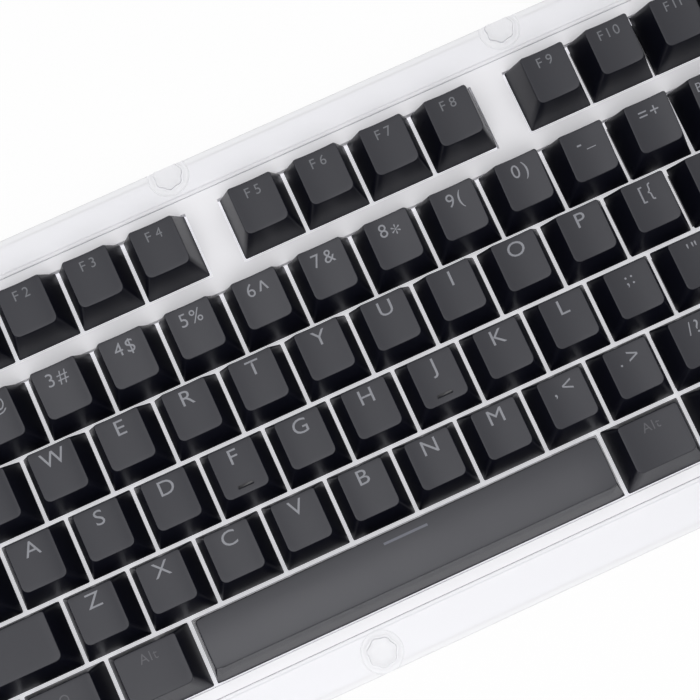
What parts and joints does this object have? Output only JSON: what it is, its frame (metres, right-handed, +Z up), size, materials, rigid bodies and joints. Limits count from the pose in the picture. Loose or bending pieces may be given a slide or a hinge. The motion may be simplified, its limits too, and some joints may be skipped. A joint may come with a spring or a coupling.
{
  "type": "mechanical keyboard",
  "caption": "Full-size mechanical keyboard with sculpted dark keycaps on sprung switches, a white deck and a clear studded rim.",
  "frame": {"origin": "on the surface that the rubber pads stand on, under the middle of the outline", "axes": "+X to the typist's right along the long side, +Y away from the typist, +Z up"},
  "size_m": [0.4578, 0.1482, 0.0334],
  "materials": {
    "keycap": "fine satin grain, slightly polished at the edges",
    "deck_white": "satin white",
    "plate_white": "white powder coat",
    "clear_rim": "clear moulded plastic",
    "case_plastic": "fine texture",
    "board": "solder mask",
    "foam": "closed-cell foam",
    "bright_metal": "plated",
    "contact_brass": "plain",
    "black_plastic": "moulded",
    "lamp_clear": "clear moulded plastic",
    "lamp_white": "epoxy",
    "rubber": "soft matt"
  },
  "bodies": {
    "case": {"backlight_lamps": "lamp_white", "bottom_case": "case_plastic", "case_foam": "foam", "circuit_board": "board", "clear_rim": "clear_rim", "controller_chip": "black_plastic", "lock_light_pipes": "lamp_clear", "plate_screws": "bright_metal", "rim_studs": "clear_rim", "rubber_pads": "rubber", "stabiliser_housings": "black_plastic", "stabiliser_wires": "bright_metal", "switch_contacts": "contact_brass", "switch_diodes": "black_plastic", "switch_lower_housings": "black_plastic", "switch_plate": "plate_white", "switch_springs": "bright_metal", "switch_upper_housings": "lamp_clear", "top_cover": "deck_white", "usb_socket": "bright_metal"},
    "key_a": {"key_a": "keycap"},
    "key_b": {"key_b": "keycap"},
    "key_c": {"key_c": "keycap"},
    "key_d": {"key_d": "keycap"},
    "key_e": {"key_e": "keycap"},
    "key_f": {"key_f": "keycap"},
    "key_g": {"key_g": "keycap"},
    "key_h": {"key_h": "keycap"},
    "key_i": {"key_i": "keycap"},
    "key_j": {"key_j": "keycap"},
    "key_k": {"key_k": "keycap"},
    "key_l": {"key_l": "keycap"},
    "key_m": {"key_m": "keycap"},
    "key_n": {"key_n": "keycap"},
    "key_o": {"key_o": "keycap"},
    "key_p": {"key_p": "keycap"},
    "key_q": {"key_q": "keycap"},
    "key_r": {"key_r": "keycap"},
    "key_s": {"key_s": "keycap"},
    "key_space": {"key_space": "keycap"},
    "key_t": {"key_t": "keycap"},
    "key_u": {"key_u": "keycap"},
    "key_v": {"key_v": "keycap"},
    "key_w": {"key_w": "keycap"},
    "key_x": {"key_x": "keycap"},
    "key_y": {"key_y": "keycap"},
    "key_z": {"key_z": "keycap"},
    "keys_arrows": {"keys_arrows": "keycap"},
    "keys_escape_to_f4": {"keys_escape_to_f4": "keycap"},
    "keys_f5_to_f8": {"keys_f5_to_f8": "keycap"},
    "keys_f9_to_f12": {"keys_f9_to_f12": "keycap"},
    "keys_left_modifiers": {"keys_left_modifiers": "keycap"},
    "keys_navigation": {"keys_navigation": "keycap"},
    "keys_number_pad": {"keys_number_pad": "keycap"},
    "keys_number_row": {"keys_number_row": "keycap"},
    "keys_punctuation": {"keys_punctuation": "keycap"},
    "keys_right_modifiers": {"keys_right_modifiers": "keycap"},
    "left_flip_foot": {"left_flip_foot": "case_plastic"},
    "right_flip_foot": {"right_flip_foot": "case_plastic"}
  },
  "joints": [
    {"name": "key_a_press", "type": "slide", "parent": "case", "child": "key_a", "axis": [0, 0, -1], "range_m": [0, 0.004], "stiffness_N_per_m": 75, "springref_m": -0.004, "deforming": ["switch_springs"]},
    {"name": "key_b_press", "type": "slide", "parent": "case", "child": "key_b", "axis": [0, 0, -1], "range_m": [0, 0.004], "stiffness_N_per_m": 75, "springref_m": -0.004, "deforming": ["switch_springs"]},
    {"name": "key_c_press", "type": "slide", "parent": "case", "child": "key_c", "axis": [0, 0, -1], "range_m": [0, 0.004], "stiffness_N_per_m": 75, "springref_m": -0.004, "deforming": ["switch_springs"]},
    {"name": "key_d_press", "type": "slide", "parent": "case", "child": "key_d", "axis": [0, 0, -1], "range_m": [0, 0.004], "stiffness_N_per_m": 75, "springref_m": -0.004, "deforming": ["switch_springs"]},
    {"name": "key_e_press", "type": "slide", "parent": "case", "child": "key_e", "axis": [0, 0, -1], "range_m": [0, 0.004], "stiffness_N_per_m": 75, "springref_m": -0.004, "deforming": ["switch_springs"]},
    {"name": "key_f_press", "type": "slide", "parent": "case", "child": "key_f", "axis": [0, 0, -1], "range_m": [0, 0.004], "stiffness_N_per_m": 75, "springref_m": -0.004, "deforming": ["switch_springs"]},
    {"name": "key_g_press", "type": "slide", "parent": "case", "child": "key_g", "axis": [0, 0, -1], "range_m": [0, 0.004], "stiffness_N_per_m": 75, "springref_m": -0.004, "deforming": ["switch_springs"]},
    {"name": "key_h_press", "type": "slide", "parent": "case", "child": "key_h", "axis": [0, 0, -1], "range_m": [0, 0.004], "stiffness_N_per_m": 75, "springref_m": -0.004, "deforming": ["switch_springs"]},
    {"name": "key_i_press", "type": "slide", "parent": "case", "child": "key_i", "axis": [0, 0, -1], "range_m": [0, 0.004], "stiffness_N_per_m": 75, "springref_m": -0.004, "deforming": ["switch_springs"]},
    {"name": "key_j_press", "type": "slide", "parent": "case", "child": "key_j", "axis": [0, 0, -1], "range_m": [0, 0.004], "stiffness_N_per_m": 75, "springref_m": -0.004, "deforming": ["switch_springs"]},
    {"name": "key_k_press", "type": "slide", "parent": "case", "child": "key_k", "axis": [0, 0, -1], "range_m": [0, 0.004], "stiffness_N_per_m": 75, "springref_m": -0.004, "deforming": ["switch_springs"]},
    {"name": "key_l_press", "type": "slide", "parent": "case", "child": "key_l", "axis": [0, 0, -1], "range_m": [0, 0.004], "stiffness_N_per_m": 75, "springref_m": -0.004, "deforming": ["switch_springs"]},
    {"name": "key_m_press", "type": "slide", "parent": "case", "child": "key_m", "axis": [0, 0, -1], "range_m": [0, 0.004], "stiffness_N_per_m": 75, "springref_m": -0.004, "deforming": ["switch_springs"]},
    {"name": "key_n_press", "type": "slide", "parent": "case", "child": "key_n", "axis": [0, 0, -1], "range_m": [0, 0.004], "stiffness_N_per_m": 75, "springref_m": -0.004, "deforming": ["switch_springs"]},
    {"name": "key_o_press", "type": "slide", "parent": "case", "child": "key_o", "axis": [0, 0, -1], "range_m": [0, 0.004], "stiffness_N_per_m": 75, "springref_m": -0.004, "deforming": ["switch_springs"]},
    {"name": "key_p_press", "type": "slide", "parent": "case", "child": "key_p", "axis": [0, 0, -1], "range_m": [0, 0.004], "stiffness_N_per_m": 75, "springref_m": -0.004, "deforming": ["switch_springs"]},
    {"name": "key_q_press", "type": "slide", "parent": "case", "child": "key_q", "axis": [0, 0, -1], "range_m": [0, 0.004], "stiffness_N_per_m": 75, "springref_m": -0.004, "deforming": ["switch_springs"]},
    {"name": "key_r_press", "type": "slide", "parent": "case", "child": "key_r", "axis": [0, 0, -1], "range_m": [0, 0.004], "stiffness_N_per_m": 75, "springref_m": -0.004, "deforming": ["switch_springs"]},
    {"name": "key_s_press", "type": "slide", "parent": "case", "child": "key_s", "axis": [0, 0, -1], "range_m": [0, 0.004], "stiffness_N_per_m": 75, "springref_m": -0.004, "deforming": ["switch_springs"]},
    {"name": "key_space_press", "type": "slide", "parent": "case", "child": "key_space", "axis": [0, 0, -1], "range_m": [0, 0.004], "stiffness_N_per_m": 75, "springref_m": -0.004, "deforming": ["switch_springs"]},
    {"name": "key_t_press", "type": "slide", "parent": "case", "child": "key_t", "axis": [0, 0, -1], "range_m": [0, 0.004], "stiffness_N_per_m": 75, "springref_m": -0.004, "deforming": ["switch_springs"]},
    {"name": "key_u_press", "type": "slide", "parent": "case", "child": "key_u", "axis": [0, 0, -1], "range_m": [0, 0.004], "stiffness_N_per_m": 75, "springref_m": -0.004, "deforming": ["switch_springs"]},
    {"name": "key_v_press", "type": "slide", "parent": "case", "child": "key_v", "axis": [0, 0, -1], "range_m": [0, 0.004], "stiffness_N_per_m": 75, "springref_m": -0.004, "deforming": ["switch_springs"]},
    {"name": "key_w_press", "type": "slide", "parent": "case", "child": "key_w", "axis": [0, 0, -1], "range_m": [0, 0.004], "stiffness_N_per_m": 75, "springref_m": -0.004, "deforming": ["switch_springs"]},
    {"name": "key_x_press", "type": "slide", "parent": "case", "child": "key_x", "axis": [0, 0, -1], "range_m": [0, 0.004], "stiffness_N_per_m": 75, "springref_m": -0.004, "deforming": ["switch_springs"]},
    {"name": "key_y_press", "type": "slide", "parent": "case", "child": "key_y", "axis": [0, 0, -1], "range_m": [0, 0.004], "stiffness_N_per_m": 75, "springref_m": -0.004, "deforming": ["switch_springs"]},
    {"name": "key_z_press", "type": "slide", "parent": "case", "child": "key_z", "axis": [0, 0, -1], "range_m": [0, 0.004], "stiffness_N_per_m": 75, "springref_m": -0.004, "deforming": ["switch_springs"]},
    {"name": "keys_arrows_press", "type": "slide", "parent": "case", "child": "keys_arrows", "axis": [0, 0, -1], "range_m": [0, 0.004], "stiffness_N_per_m": 300, "springref_m": -0.004, "deforming": ["switch_springs"]},
    {"name": "keys_escape_to_f4_press", "type": "slide", "parent": "case", "child": "keys_escape_to_f4", "axis": [0, 0, -1], "range_m": [0, 0.004], "stiffness_N_per_m": 375, "springref_m": -0.004, "deforming": ["switch_springs"]},
    {"name": "keys_f5_to_f8_press", "type": "slide", "parent": "case", "child": "keys_f5_to_f8", "axis": [0, 0, -1], "range_m": [0, 0.004], "stiffness_N_per_m": 300, "springref_m": -0.004, "deforming": ["switch_springs"]},
    {"name": "keys_f9_to_f12_press", "type": "slide", "parent": "case", "child": "keys_f9_to_f12", "axis": [0, 0, -1], "range_m": [0, 0.004], "stiffness_N_per_m": 300, "springref_m": -0.004, "deforming": ["switch_springs"]},
    {"name": "keys_left_modifiers_press", "type": "slide", "parent": "case", "child": "keys_left_modifiers", "axis": [0, 0, -1], "range_m": [0, 0.004], "stiffness_N_per_m": 450, "springref_m": -0.004, "deforming": ["switch_springs"]},
    {"name": "keys_navigation_press", "type": "slide", "parent": "case", "child": "keys_navigation", "axis": [0, 0, -1], "range_m": [0, 0.004], "stiffness_N_per_m": 675, "springref_m": -0.004, "deforming": ["switch_springs"]},
    {"name": "keys_number_pad_press", "type": "slide", "parent": "case", "child": "keys_number_pad", "axis": [0, 0, -1], "range_m": [0, 0.004], "stiffness_N_per_m": 1275, "springref_m": -0.004, "deforming": ["switch_springs"]},
    {"name": "keys_number_row_press", "type": "slide", "parent": "case", "child": "keys_number_row", "axis": [0, 0, -1], "range_m": [0, 0.004], "stiffness_N_per_m": 975, "springref_m": -0.004, "deforming": ["switch_springs"]},
    {"name": "keys_punctuation_press", "type": "slide", "parent": "case", "child": "keys_punctuation", "axis": [0, 0, -1], "range_m": [0, 0.004], "stiffness_N_per_m": 600, "springref_m": -0.004, "deforming": ["switch_springs"]},
    {"name": "keys_right_modifiers_press", "type": "slide", "parent": "case", "child": "keys_right_modifiers", "axis": [0, 0, -1], "range_m": [0, 0.004], "stiffness_N_per_m": 525, "springref_m": -0.004, "deforming": ["switch_springs"]},
    {"name": "left_flip_foot_hinge", "type": "hinge", "parent": "case", "child": "left_flip_foot", "pos_m": [-0.15091, 0.04623, 0.00335], "axis": [1, 0, 0], "range_deg": [0, 95]},
    {"name": "right_flip_foot_hinge", "type": "hinge", "parent": "case", "child": "right_flip_foot", "pos_m": [0.15091, 0.04623, 0.00335], "axis": [1, 0, 0], "range_deg": [0, 95]}
  ]
}
